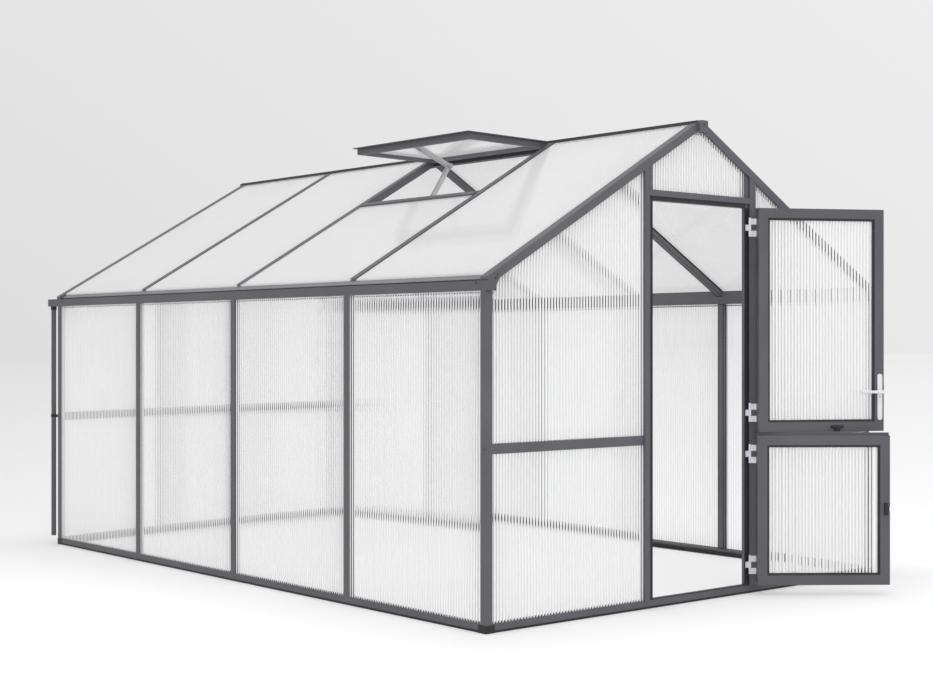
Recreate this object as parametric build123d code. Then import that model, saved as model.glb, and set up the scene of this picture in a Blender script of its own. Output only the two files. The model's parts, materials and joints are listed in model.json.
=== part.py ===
from build123d import *
import math
import os

# Overall form, in millimetres: X across the gables, Y along the ridge, doors at -Y, ground at Z = 0
width = 2560.0
length = 3770.0
eave_height = 1432.0
roof_pitch = 30.0
bay_count = 4

# Aluminium frame bars
post_size = 34.0
stud_face = 40.0
jamb_face = 44.0
lintel_face = 46.0
door_frame_proud = 10.0
door_frame_gap = 1.0
door_frame_lip = 19.0
door_frame_lip_wall = 6.0
jamb_nose_face = 25.0
mid_rail_face = 40.0
mid_rail_height = 719.0
bar_wall = 2.0
rafter_depth = 36.0
rake_proud = 11.0
gusset_thickness = 1.5
gusset_reach = 62.0
screw_head_radius = 4.5
screw_head_height = 2.5
screw_head_round = 1.5
gusset_screw_reach = 51.0
gusset_screw_step = 8.5
fascia_screw_inset = 60.0
ridge_screw_drop = 18.0

# Base frame
base_height = 38.0
base_depth = 40.0
base_wall = 3.0
base_lip_height = 10.0
base_lip_inset = 3.0
base_shelf = 12.0
anchor_hole_radius = 4.5
anchor_hole_inset = 26.0
corner_cap_leg = 46.0
corner_cap_height = 33.0
corner_cap_wall = 2.0

# Twin-wall glazing sheets
panel_thickness = 8.0
panel_grip = 8.0
panel_set_back = 4.0
roof_set_back = 3.0
glazing_gap = 0.4

# How far a cutter runs past the face it opens
overrun = 1.0

# Gutters and downpipes
gutter_width = 46.0
gutter_height = 41.0
gutter_lip_drop = 15.0
gutter_wall = 2.5
gutter_overhang = 125.0
end_cap_thickness = 2.0
eave_strip_thickness = 3.0
rain_slot = 8.0
strip_exposed = 36.0
downpipe_radius = 14.0
downpipe_wall = 2.0
downpipe_end_gap = 25.0
downpipe_clearance = 40.0
collar_wall = 3.0
collar_height = 20.0
clip_band = 16.0
clip_wall = 2.5

# Ridge
ridge_width = 53.0
ridge_rise = 11.3
ridge_cap_depth = 17.0
ridge_cap_radius = 9.0
ridge_core_width = 20.0
hinge_bead_radius = 5.0
bead_clearance = 0.1
bead_inset = 6.5
bead_drop = 10.0
mouth_relief = 4.0

# Roof vent, in the second bay of the left slope
vent_bay = 1
vent_open_angle = 31.0
vent_length = 520.0
vent_head_gap = 24.0
vent_rail = 30.0
vent_depth = 30.0
vent_side_gap = 4.0
vent_seat_gap = 1.0
vent_flange = 4.0
vent_flange_side = 14.0
vent_flange_foot = 21.0
vent_web = 4.0
sill_gap = 4.0
sill_width = 46.0
sill_rib = 25.0
sill_rib_rise = 5.5
sill_seat_drop = 1.0
sill_depth = 33.0

# Automatic vent opener
opener_radius = 476.0
lower_pivot_drop = 44.0
upper_pivot_drop = 26.0
opener_arm = 216.0
arm_height = 16.0
arm_plate = 3.0
arm_gap = 2.0
lower_arm_half = 9.0
opener_pin_radius = 3.0
running_clearance = 0.05
elbow_hole_radius = 9.0
elbow_eye_wall = 4.0
elbow_head_radius = 11.0
elbow_head = 1.5
pin_end = 1.0
cylinder_radius = 7.5
cylinder_bore = 3.0
cylinder_start = 22.0
cylinder_length = 120.0
piston_reach = 50.0
bracket_plate = 3.0

# Two-part door
door_opening = 621.0
door_head_rise = 359.0
leaf_gap = 3.0
leaf_thickness = 34.0
leaf_face = 45.0
door_sill_gap = 8.0
door_split = 737.0
door_split_gap = 15.0
door_lip_height = 12.0
door_lip_depth = 14.0
door_panel_set_back = 12.0
bead_width = 10.0
bead_depth = 8.0
upper_open_angle = 150.0
lower_open_angle = 141.0

# Door hinges
hinge_height = 84.0
hinge_inset = 88.0
hinge_axis_x = 334.0
hinge_axis_proud = 14.0
hinge_barrel_radius = 6.0
hinge_pin_radius = 3.0
hinge_plate = 3.0
hinge_plate_reach = 40.0
hinge_jamb_plate = 18.0
knuckle_gap = 0.6

# Door furniture
handle_above_leaf = 184.0
handle_edge = 21.0
handle_plate_width = 24.0
handle_plate_top = 84.0
handle_plate_bottom = 133.0
handle_plate_thickness = 6.0
neck_radius = 8.0
neck_length = 38.0
lever_length = 105.0
lever_section = 14.0
spindle_radius = 5.0
keyhole_radius = 3.0
keyhole_drop = 24.0
lock_width = 30.0
lock_thickness = 16.0
lock_above = 40.0
lock_below = 90.0
fitting_gap = 0.3
bolt_width = 12.0
bolt_height = 16.0
bolt_length = 26.0
bolt_throw = 10.0
bolt_proud = 1.0
bolt_rise = 20.0
bolt_play = 1.0
strike_width = 20.0
strike_height = 90.0
strike_thickness = 2.0
keeper_depth = 14.0
leaf_latch_offset = 408.0
leaf_latch_width = 57.0
leaf_latch_height = 12.0
leaf_latch_depth = 12.0
leaf_latch_above = 22.0
tongue_width = 24.0
tongue_depth = 7.0
stile_latch_height = 397.0
stile_latch_tall = 55.0
stile_latch_width = 27.0
stile_latch_depth = 12.0
stile_bolt_height = 18.0

# Derived planes
pitch_cos = math.cos(math.radians(roof_pitch))
pitch_sin = math.sin(math.radians(roof_pitch))
pitch_tan = math.tan(math.radians(roof_pitch))
left, right = 1, -1
front, rear = 1, -1
bay = length / bay_count
gutter_bottom = eave_height - gutter_lip_drop - gutter_height
gutter_lip = eave_height - gutter_lip_drop
panel_top_n = -roof_set_back
panel_under_n = -roof_set_back - panel_thickness
strip_under_n = panel_under_n - eave_strip_thickness
ridge_h = width / 2 - ridge_width / 2
rake_face = length / 2 + rake_proud
door_head = eave_height + door_head_rise
jamb_inner = door_opening / 2
jamb_outer = jamb_inner + jamb_face
leaf_edge = jamb_inner - leaf_gap
outer_y = -length / 2
inner_y = outer_y + leaf_thickness
hinge_axis_y = outer_y - hinge_axis_proud
nose_inner = hinge_axis_x + hinge_barrel_radius + door_frame_gap
lower_leaf_bottom = base_height + door_sill_gap
upper_leaf_bottom = door_split + door_split_gap
upper_leaf_top = door_head - leaf_gap
mid_rail_top = mid_rail_height + mid_rail_face
lintel_top = door_head + lintel_face


def side_x(side, h):
    """X of a point h inside the outer wall plane of one side."""
    return side * (h - width / 2)


def end_y(end, g):
    """Y of a point g inside the outer plane of one gable."""
    return end * (g - length / 2)


def roof_z(h, n):
    """Height of the roof at h inside the wall plane, n out from the bar tops."""
    return eave_height + h * pitch_tan + n / pitch_cos


def roof_point(side, h, n):
    return (side_x(side, h), roof_z(h, n))


def slope_point(side, s, n):
    """Point s up the slope from the eave line and n out from the bar tops."""
    return (side_x(side, s * pitch_cos - n * pitch_sin), eave_height + s * pitch_sin + n * pitch_cos)


def block(x0, x1, y0, y1, z0, z1):
    """Box between two opposite corners, in any order."""
    middle = Pos((x0 + x1) / 2, (y0 + y1) / 2, (z0 + z1) / 2)
    return middle * Box(abs(x1 - x0), abs(y1 - y0), abs(z1 - z0))


def along_y(outline, y0, y1):
    """XZ outline swept along Y."""
    start = Plane(origin=(0, min(y0, y1), 0), x_dir=(1, 0, 0), z_dir=(0, -1, 0))
    return extrude(start * Polygon(*outline, align=None), amount=abs(y1 - y0), dir=(0, 1, 0))


def rod_y(x, z, radius, y0, y1):
    """Round bar along Y."""
    return Pos(x, (y0 + y1) / 2, z) * Rot(90, 0, 0) * Cylinder(radius, abs(y1 - y0))


def rod_z(x, y, radius, z0, z1):
    """Round bar along Z."""
    return Pos(x, y, (z0 + z1) / 2) * Cylinder(radius, abs(z1 - z0))


def slope_block(side, s0, s1, n0, n1, y0, y1):
    """Block lying on the slope, with square ends."""
    outline = [slope_point(side, s, n) for s, n in ((s0, n0), (s1, n0), (s1, n1), (s0, n1))]
    return along_y(outline, y0, y1)


def roof_slab(side, h0, h1, n0, n1, y0, y1):
    """Slab lying on the slope, with upright ends."""
    outline = [roof_point(side, h, n) for h, n in ((h0, n0), (h1, n0), (h1, n1), (h0, n1))]
    return along_y(outline, y0, y1)


def less(solid, tools):
    """Solid with every tool cut out of it."""
    for tool in tools:
        solid = solid - tool
    return solid


def bar_centre(i):
    """Y of wall and roof bar i, counted from the door gable."""
    return -length / 2 + i * bay


def bay_clear(i):
    """Clear Y range of bay i between its two bars."""
    start = bar_centre(i) + (post_size if i == 0 else stud_face / 2)
    stop = bar_centre(i + 1) - (post_size if i == bay_count - 1 else stud_face / 2)
    return start, stop


nodes = {}


def add(name, *pieces):
    """Keep the solids of one sub-part under its name."""
    nodes[name] = [solid for piece in pieces for solid in piece.solids()]


# Glazing: each sheet is made at its own size, and with a grow margin it is the groove it sits in


def wall_panel(side, i, grow=0.0):
    y0, y1 = bay_clear(i)
    edge = panel_grip + grow
    h0 = panel_set_back - grow
    h1 = panel_set_back + panel_thickness + grow
    foot = base_height - panel_grip - grow
    head = gutter_bottom - glazing_gap + grow
    return block(side_x(side, h0), side_x(side, h1), y0 - edge, y1 + edge, foot, head)


def under_rake(x):
    """Top edge of a gable sheet, inside the groove under the rake bars."""
    return roof_z(width / 2 - abs(x), panel_grip - rafter_depth)


def gable_panel(end, x0, x1, z0, z1, grow=0.0):
    """Gable sheet from clear opening x0..x1, z0..z1; z1 of None runs up to the rake bars."""
    a = x0 - panel_grip - grow
    b = x1 + panel_grip + grow
    low = z0 - panel_grip - grow
    rise = grow / pitch_cos
    notch = width / 2 - gutter_width - glazing_gap + grow
    shoulder = gutter_bottom - glazing_gap + grow
    outline = [(a, low), (b, low)]
    if z1 is not None:
        outline += [(b, z1 + panel_grip + grow), (a, z1 + panel_grip + grow)]
    else:
        if b > notch:
            outline += [(b, shoulder), (notch, shoulder), (notch, under_rake(notch) + rise)]
        else:
            outline += [(b, under_rake(b) + rise)]
        if a < 0 < b:
            beside = ridge_width / 2 + glazing_gap - grow
            below = roof_z(ridge_h, -rafter_depth) - glazing_gap + grow
            top = under_rake(beside) + rise
            outline += [(beside, top), (beside, below), (-beside, below), (-beside, top)]
        if a < -notch:
            outline += [(-notch, under_rake(notch) + rise), (-notch, shoulder), (a, shoulder)]
        else:
            outline += [(a, under_rake(a) + rise)]
    g0 = panel_set_back - grow
    g1 = panel_set_back + panel_thickness + grow
    return along_y(outline, end_y(end, g0), end_y(end, g1))


def gable_openings(end):
    """Clear openings of one gable: x range, foot, and head or None under the rakes."""
    post_edge = width / 2 - post_size
    flanks = ((-post_edge, -jamb_outer), (jamb_outer, post_edge))
    openings = []
    for x0, x1 in flanks:
        openings.append((x0, x1, base_height, mid_rail_height))
        openings.append((x0, x1, mid_rail_top, None))
    if end == front:
        openings.append((-jamb_inner, jamb_inner, lintel_top, None))
    else:
        openings.append((-jamb_inner, jamb_inner, base_height, mid_rail_height))
        openings.append((-jamb_inner, jamb_inner, mid_rail_top, None))
    return openings


def vent_axis():
    """X and Z of the vent's hinge bead, inside the left lip of the ridge."""
    x = bead_inset - ridge_width / 2
    return x, roof_z(width / 2 + x, -bead_drop)


hinge_x, hinge_z = vent_axis()
hinge_s = (width / 2 + hinge_x) * pitch_cos + (hinge_z - eave_height) * pitch_sin
hinge_n = (hinge_z - eave_height) * pitch_cos - (width / 2 + hinge_x) * pitch_sin
sill_top_s = hinge_s - vent_length - sill_gap
sill_foot_s = sill_top_s - sill_width


def roof_panel(side, i, grow=0.0):
    y0, y1 = bay_clear(i)
    y0 = y0 - panel_grip - grow
    y1 = y1 + panel_grip + grow
    top = panel_top_n + grow
    under = panel_under_n - grow
    foot = [roof_point(side, strip_exposed, under), roof_point(side, strip_exposed, top)]
    if side == left and i == vent_bay:
        reach = sill_foot_s + panel_grip + grow
        head = [slope_point(side, reach, top), slope_point(side, reach, under)]
    else:
        reach = ridge_h - glazing_gap
        head = [roof_point(side, reach, top), roof_point(side, reach, under)]
    return along_y(foot + head, y0, y1)


bays = range(bay_count)
inner_bars = range(1, bay_count)
sides = ((left, "left"), (right, "right"))
ends = ((front, "front"), (rear, "rear"))
wall_grooves = {side: [wall_panel(side, i, glazing_gap) for i in bays] for side, _ in sides}
roof_grooves = {side: [roof_panel(side, i, glazing_gap) for i in bays] for side, _ in sides}
gable_grooves = {end: [gable_panel(end, *o, glazing_gap) for o in gable_openings(end)] for end, _ in ends}


# Base frame: open channels with a bolting flange, a recessed lip and a groove for the sheets


def base_outline(face, inward):
    """Channel section from the outer face, as (across, height) points."""
    lip = face + inward * base_lip_inset
    web = face + inward * base_wall
    lip_web = lip + inward * base_wall
    back = face + inward * base_depth
    shelf = base_height - base_shelf
    flange = base_wall
    return [
        (lip, 0), (back, 0), (back, flange), (lip_web, flange), (lip_web, base_lip_height + base_wall),
        (web, base_lip_height + base_wall), (web, shelf), (back, shelf), (back, base_height),
        (face, base_height), (face, base_lip_height), (lip, base_lip_height),
    ]


def anchor_places():
    """Ground anchors: two in each long base rail, beside the inner bars."""
    x = width / 2 - anchor_hole_inset
    y = length / 2 - bay
    return [(sx * x, sy * y) for sx in (-1, 1) for sy in (-1, 1)]


def end_base_rail(end):
    start = Plane(origin=(-width / 2, 0, 0), x_dir=(0, 1, 0), z_dir=(1, 0, 0))
    outline = base_outline(end_y(end, 0), end)
    rail = extrude(start * Polygon(*outline, align=None), amount=width, dir=(1, 0, 0))
    return less(rail, gable_grooves[end] + wall_grooves[left] + wall_grooves[right])


def side_base_rail(side):
    rail = along_y(base_outline(side_x(side, 0), side), -length / 2 + base_depth, length / 2 - base_depth)
    holes = [rod_z(x, y, anchor_hole_radius, -base_wall, 2 * base_wall) for x, y in anchor_places()]
    return less(rail, wall_grooves[side] + holes)


def corner_cap(side, end):
    out_x = side_x(side, -corner_cap_wall)
    out_y = end_y(end, -corner_cap_wall)
    in_x = side_x(side, corner_cap_leg)
    in_y = end_y(end, corner_cap_leg)
    shell = block(out_x, in_x, out_y, in_y, 0, corner_cap_height)
    core = block(side_x(side, 0), 0, end_y(end, 0), 0, -overrun, base_height)
    rounded = shell.edges().filter_by(Axis.Z).sort_by(lambda e: abs(e.center().X) + abs(e.center().Y))[-1]
    return fillet(rounded, corner_cap_wall) - core


for end, end_name in ends:
    add(f"base_rail_{end_name}", end_base_rail(end))
for side, side_name in sides:
    add(f"base_rail_{side_name}", side_base_rail(side))
add("base_corner_caps", *[corner_cap(side, end) for side, _ in sides for end, _ in ends])


# Upright bars of the side walls


def hollow(x0, x1, y0, y1, z0, z1):
    """Chamber of a hollow upright bar, open at both ends."""
    return block(x0, x1, y0, y1, z0 - overrun, z1 + overrun)


chamber_from = panel_set_back + panel_thickness + glazing_gap + bar_wall
chamber_to = post_size - bar_wall


def corner_post(side, end):
    x0, x1 = side_x(side, 0), side_x(side, post_size)
    y0, y1 = end_y(end, 0), end_y(end, post_size)
    post = block(x0, x1, y0, y1, base_height, gutter_bottom)
    chamber = hollow(
        side_x(side, chamber_from + panel_grip), side_x(side, chamber_to),
        end_y(end, chamber_from), end_y(end, chamber_to), base_height, gutter_bottom)
    return less(post, [chamber] + wall_grooves[side] + gable_grooves[end])


def wall_stud(side, i):
    y0 = bar_centre(i) - stud_face / 2
    y1 = bar_centre(i) + stud_face / 2
    stud = block(side_x(side, 0), side_x(side, post_size), y0, y1, base_height, gutter_bottom)
    chamber = hollow(
        side_x(side, chamber_from), side_x(side, chamber_to), y0 + bar_wall, y1 - bar_wall,
        base_height, gutter_bottom)
    return less(stud, [chamber] + wall_grooves[side])


add("corner_posts", *[corner_post(side, end) for side, _ in sides for end, _ in ends])
for side, side_name in sides:
    add(f"{side_name}_wall_studs", *[wall_stud(side, i) for i in inner_bars])


# Gutters, eave strips and downpipes


pipe_y = length / 2 + gutter_overhang - downpipe_end_gap
pipe_h = gutter_width / 2


def gutter(side):
    """Trough of three bars: floor with its outlet, low outer fascia, inner wall up to the eave strip."""
    y0, y1 = -rake_face, length / 2 + gutter_overhang
    floor_top = gutter_bottom + gutter_wall
    inner = gutter_width - gutter_wall
    outlet = rod_z(side_x(side, pipe_h), pipe_y, downpipe_radius - downpipe_wall,
                   gutter_bottom - overrun, floor_top + overrun)
    floor = block(side_x(side, 0), side_x(side, gutter_width), y0, y1, gutter_bottom, floor_top) - outlet
    fascia = block(side_x(side, 0), side_x(side, gutter_wall), y0, y1, floor_top, gutter_lip)
    wall_outline = [
        (side_x(side, inner), floor_top), (side_x(side, gutter_width), floor_top),
        roof_point(side, gutter_width, strip_under_n), roof_point(side, inner, strip_under_n),
    ]
    upstand = block(side_x(side, 0), side_x(side, width / 2), rake_face, 2 * y1, gutter_lip, 2 * eave_height)
    wall = along_y(wall_outline, y0, y1) - upstand
    return floor, fascia, wall


def gutter_end_cap(side):
    y = length / 2 + gutter_overhang
    x0, x1 = side_x(side, 0), side_x(side, gutter_width)
    return block(x0, x1, y, y + end_cap_thickness, gutter_bottom, gutter_lip)


def eave_strip(side):
    return roof_slab(side, rain_slot, gutter_width, panel_under_n, strip_under_n, -rake_face, rake_face)


def downpipe(side):
    x = side_x(side, pipe_h)
    top = gutter_bottom - collar_height / 2
    pipe = rod_z(x, pipe_y, downpipe_radius, downpipe_clearance, top)
    bore = rod_z(x, pipe_y, downpipe_radius - downpipe_wall, downpipe_clearance - overrun, top + overrun)
    return pipe - bore


def downpipe_collar(side):
    x = side_x(side, pipe_h)
    foot = gutter_bottom - collar_height
    body = rod_z(x, pipe_y, downpipe_radius + collar_wall, foot, gutter_bottom)
    shoulder = gutter_bottom - collar_height / 2
    socket = rod_z(x, pipe_y, downpipe_radius + glazing_gap / 4, foot - overrun, shoulder)
    throat = rod_z(x, pipe_y, downpipe_radius - downpipe_wall, foot, gutter_bottom + overrun)
    return body - socket - throat


def downpipe_clip(side):
    x = side_x(side, pipe_h)
    z0 = mid_rail_height + mid_rail_face / 2 - clip_band / 2
    z1 = z0 + clip_band
    ring = rod_z(x, pipe_y, downpipe_radius + clip_wall, z0, z1)
    arm = block(x - clip_wall, x + clip_wall, length / 2, pipe_y - downpipe_radius, z0, z1)
    foot = block(x - clip_band / 2, x + clip_band / 2, length / 2, length / 2 + clip_wall, z0, z1)
    return ring + arm + foot - rod_z(x, pipe_y, downpipe_radius + glazing_gap / 4, z0 - overrun, z1 + overrun)


for side, side_name in sides:
    add(f"{side_name}_gutter", *gutter(side))
add("gutter_end_caps", *[gutter_end_cap(side) for side, _ in sides])
add("eave_strips", *[eave_strip(side) for side, _ in sides])
add("downpipes", *[downpipe(side) for side, _ in sides])
add("downpipe_collars", *[downpipe_collar(side) for side, _ in sides])
add("downpipe_clips", *[downpipe_clip(side) for side, _ in sides])


# Ridge, rakes and rafters


ridge_top = roof_z(ridge_h, 0) + ridge_rise
ridge_under = roof_z(ridge_h, -rafter_depth)
leaf_direction = 180 + roof_pitch
mouth_spread = math.degrees(math.asin(vent_web / 2 / hinge_bead_radius)) + mouth_relief


def ridge_groove(mirrored):
    """Round hinge groove along one lip of the ridge, with a mouth for the leaf's web."""
    x = -hinge_x if mirrored else hinge_x
    reach = ridge_width
    mouth = [(x, hinge_z)]
    for angle in (leaf_direction - vent_open_angle - mouth_spread, 180, leaf_direction + mouth_spread):
        dx = reach * math.cos(math.radians(angle))
        mouth.append((x - dx if mirrored else x + dx, hinge_z + reach * math.sin(math.radians(angle))))
    round_part = rod_y(x, hinge_z, hinge_bead_radius + bead_clearance, -2 * length, 2 * length)
    return [round_part, along_y(mouth, -2 * length, 2 * length)]


def ridge_beam():
    half = ridge_width / 2
    beam = block(-half, half, -rake_face, rake_face, ridge_under, ridge_top)
    core = ridge_core_width / 2
    chamber = block(-core, core, -2 * length, 2 * length, ridge_under + bar_wall, ridge_top - bar_wall)
    return less(beam, [chamber] + ridge_groove(False) + ridge_groove(True))


def ridge_end_cap(end):
    half = ridge_width / 2
    near = end_y(end, -rake_proud)
    cap = block(-half, half, near, end_y(end, -rake_proud - ridge_cap_depth), ridge_under, ridge_top)
    corners = cap.edges().filter_by(Axis.Y).group_by(Axis.Z)[-1]
    return fillet(corners, ridge_cap_radius)


def roof_bar(side, y0, y1, foot_h):
    """Roof bar over the eave strip: a thin nose down to foot_h, full depth from the gutter up."""
    nose = roof_slab(side, foot_h, ridge_h, 0, panel_under_n, y0, y1)
    body = roof_slab(side, gutter_width, ridge_h, panel_under_n, -rafter_depth, y0, y1)
    return nose + body


chamber_top_n = panel_under_n - glazing_gap - bar_wall
chamber_foot_n = bar_wall - rafter_depth


def rafter(side, i):
    y0 = bar_centre(i) - stud_face / 2
    y1 = bar_centre(i) + stud_face / 2
    bar = roof_bar(side, y0, y1, strip_exposed)
    chamber = roof_slab(side, 0, width, chamber_top_n, chamber_foot_n, y0 + bar_wall, y1 - bar_wall)
    return less(bar, [chamber] + roof_grooves[side])


def rake(side, end):
    y0 = end_y(end, -rake_proud)
    y1 = end_y(end, post_size)
    bar = roof_bar(side, y0, y1, 0)
    groove_end = panel_set_back + panel_thickness + glazing_gap + bar_wall
    chamber = roof_slab(
        side, 0, width, chamber_top_n, chamber_foot_n, end_y(end, groove_end), end_y(end, chamber_to))
    return less(bar, [chamber] + roof_grooves[side] + gable_grooves[end])


def gusset(side, end):
    """Plate over the joint of gutter, rake and corner post."""
    brace_z = roof_z(gusset_reach, -rafter_depth)
    outline = [
        (side_x(side, 0), gutter_bottom), (side_x(side, post_size), gutter_bottom),
        (side_x(side, gusset_reach), brace_z), roof_point(side, gusset_reach, 0), roof_point(side, 0, 0),
    ]
    plate = along_y(outline, end_y(end, -rake_proud), end_y(end, -rake_proud - gusset_thickness))
    if end == front:
        return plate
    hole = block(
        side_x(side, -overrun), side_x(side, gutter_width + glazing_gap), rake_face - overrun, length,
        gutter_bottom - overrun, gutter_lip + glazing_gap)
    return plate - hole


add("ridge_beam", ridge_beam())
add("ridge_end_caps", *[ridge_end_cap(end) for end, _ in ends])
for end, end_name in ends:
    add(f"{end_name}_rakes", *[rake(side, end) for side, _ in sides])
for side, side_name in sides:
    add(f"{side_name}_rafters", *[rafter(side, i) for i in inner_bars])
add("eave_gussets", *[gusset(side, end) for side, _ in sides for end, _ in ends])


# Gable bars


def gable_upright(end, x_sign, solid_edge=keeper_depth + strike_thickness):
    """Upright from the base rail to the rake, cut to the slope at its head."""
    a = x_sign * jamb_inner
    b = x_sign * jamb_outer
    head_a = roof_z(width / 2 - jamb_inner, -rafter_depth)
    head_b = roof_z(width / 2 - jamb_outer, -rafter_depth)
    outline = [(a, base_height), (b, base_height), (b, head_b), (a, head_a)]
    bar = along_y(outline, end_y(end, 0), end_y(end, post_size))
    chamber = block(
        x_sign * (jamb_inner + solid_edge + bar_wall), x_sign * (jamb_outer - bar_wall),
        end_y(end, chamber_from), end_y(end, chamber_to), 0, 2 * eave_height)
    return less(bar, [chamber] + gable_grooves[end])


def jamb_nose(x_sign):
    """Proud strip on the outer edge of a door jamb, clear of the hinge barrels."""
    a = nose_inner
    b = nose_inner + jamb_nose_face
    head_a = roof_z(width / 2 - a, -rafter_depth)
    head_b = roof_z(width / 2 - b, -rafter_depth)
    outline = [
        (x_sign * a, base_height), (x_sign * b, base_height), (x_sign * b, head_b), (x_sign * a, head_a)]
    return along_y(outline, outer_y - door_frame_proud, outer_y)


def lintel_nose():
    """Proud strip on the upper edge of the lintel, between those of the jambs."""
    nose_z = door_head + door_frame_lip
    return block(-nose_inner, nose_inner, outer_y - door_frame_proud, outer_y, nose_z, lintel_top)


def hinge_jamb():
    """Jamb cut back to a thin lip on its door side."""
    solid_edge = hinge_axis_x - jamb_inner
    rebate = block(
        jamb_inner - overrun, hinge_axis_x, outer_y + door_frame_lip_wall, outer_y + post_size + overrun,
        0, door_head)
    return gable_upright(front, 1, solid_edge) - rebate


def gable_rail(end, x0, x1, z0, z1):
    rail = block(x0, x1, end_y(end, 0), end_y(end, post_size), z0, z1)
    chamber = block(
        x0 - overrun, x1 + overrun, end_y(end, chamber_from), end_y(end, chamber_to),
        z0 + bar_wall, z1 - bar_wall)
    return less(rail, [chamber] + gable_grooves[end])


def mid_rails():
    post_edge = width / 2 - post_size
    rails = []
    for end, _ in ends:
        spans = [(-post_edge, -jamb_outer), (jamb_outer, post_edge)]
        if end == rear:
            spans.append((-jamb_inner, jamb_inner))
        rails += [gable_rail(end, x0, x1, mid_rail_height, mid_rail_top) for x0, x1 in spans]
    return rails


lever_z = upper_leaf_bottom + handle_above_leaf
bolt_z = lever_z + bolt_rise
bolt_y = outer_y + leaf_thickness / 2
keeper_places = ((bolt_z, bolt_height), (stile_latch_height, stile_bolt_height))


def bolt_hole(z, tall):
    """Hole in the lock jamb that takes a thrown bolt with some play."""
    half = bolt_width / 2 + bolt_play
    deep = -jamb_inner - strike_thickness - keeper_depth
    return block(overrun - jamb_inner, deep, bolt_y - half, bolt_y + half,
                 z - tall / 2 - bolt_play, z + tall / 2 + bolt_play)


def keeper_pockets():
    """Mortises in the lock jamb behind each strike plate."""
    face = -jamb_inner
    pockets = []
    for z, tall in keeper_places:
        half = strike_height / 2 + fitting_gap
        side_half = strike_width / 2 + fitting_gap
        pockets.append(block(face + overrun, face - strike_thickness, bolt_y - side_half, bolt_y + side_half,
                             z - half, z + half))
        pockets.append(bolt_hole(z, tall))
    return pockets


def strike_plate(z, tall):
    face = -jamb_inner
    plate = block(face, face - strike_thickness, bolt_y - strike_width / 2, bolt_y + strike_width / 2,
                  z - strike_height / 2, z + strike_height / 2)
    return plate - bolt_hole(z, tall)


lock_jamb = less(gable_upright(front, -1), keeper_pockets())
door_lintel = gable_rail(front, -jamb_inner, jamb_inner, door_head, lintel_top)
add("door_jambs", hinge_jamb(), lock_jamb, jamb_nose(1), jamb_nose(-1))
add("door_lintel", door_lintel, lintel_nose())
add("rear_gable_studs", gable_upright(rear, 1), gable_upright(rear, -1))
add("gable_mid_rails", *mid_rails())
add("strike_plates", *[strike_plate(z, tall) for z, tall in keeper_places])


# Glazing sheets


for side, side_name in sides:
    add(f"{side_name}_wall_panels", *[wall_panel(side, i) for i in bays])
    add(f"{side_name}_roof_panels", *[roof_panel(side, i) for i in bays])
for end, end_name in ends:
    add(f"{end_name}_gable_panels", *[gable_panel(end, *o) for o in gable_openings(end)])


# Screws that show on the frame


def screw_head_y(x, y, z, outward):
    head = rod_y(x, z, screw_head_radius, y, y + outward * screw_head_height)
    rim = head.edges().filter_by(GeomType.CIRCLE).sort_by(Axis.Y)
    return fillet(rim[0 if outward < 0 else -1], screw_head_round)


def screw_head_x(x, y, z, outward):
    head = Pos(x + outward * screw_head_height / 2, y, z) * Rot(0, 90, 0)
    head = head * Cylinder(screw_head_radius, screw_head_height)
    rim = head.edges().filter_by(GeomType.CIRCLE).sort_by(Axis.X)
    return fillet(rim[0 if outward < 0 else -1], screw_head_round)


def frame_screws():
    heads = []
    gusset_face = -rake_proud - gusset_thickness
    for side, _ in sides:
        for end, _ in ends:
            for step in (0, gusset_screw_step):
                h = gusset_screw_reach - step
                z = roof_z(h, -rafter_depth / 2 - step)
                heads.append(screw_head_y(side_x(side, h), end_y(end, gusset_face), z, -end))
            y = end_y(end, 2 * screw_head_radius)
            heads.append(screw_head_x(side_x(side, 0), y, mid_rail_height + mid_rail_face / 2, -side))
            fascia_z = gutter_lip - 2 * screw_head_radius
            heads.append(screw_head_x(side_x(side, 0), end_y(end, fascia_screw_inset), fascia_z, -side))
    for end, _ in ends:
        face = end_y(end, -rake_proud - ridge_cap_depth)
        heads.append(screw_head_y(0, face, ridge_top - ridge_screw_drop, -end))
    return heads


add("frame_screws", *frame_screws())


# Roof vent: made shut on the slope, then swung open about its bead


def swing_vent(piece):
    axis = Pos(hinge_x, 0, hinge_z)
    return axis * Rot(0, vent_open_angle, 0) * axis.inverse() * piece


vent_y0, vent_y1 = bay_clear(vent_bay)
vent_mid = (vent_y0 + vent_y1) / 2
leaf_y0 = vent_y0 + vent_side_gap
leaf_y1 = vent_y1 - vent_side_gap
leaf_head = hinge_s - vent_head_gap
leaf_foot = hinge_s - vent_length
leaf_top_n = vent_seat_gap
leaf_under_n = vent_seat_gap - vent_depth


def vent_panel(grow=0.0):
    edge = panel_grip + grow
    return slope_block(
        left, leaf_foot + vent_rail - edge, leaf_head - vent_rail + edge, panel_top_n + grow,
        panel_under_n - grow, leaf_y0 + vent_rail - edge, leaf_y1 - vent_rail + edge)


def vent_stile(y0, y1, flange_edge):
    stile = slope_block(left, leaf_foot + vent_rail, leaf_head - vent_rail, leaf_top_n, leaf_under_n, y0, y1)
    outer = min(y0, flange_edge)
    inner = max(y1, flange_edge)
    cover = slope_block(left, leaf_foot + vent_rail, leaf_head - vent_rail, leaf_top_n,
                        leaf_top_n + vent_flange, outer, inner)
    return stile + cover


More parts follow.
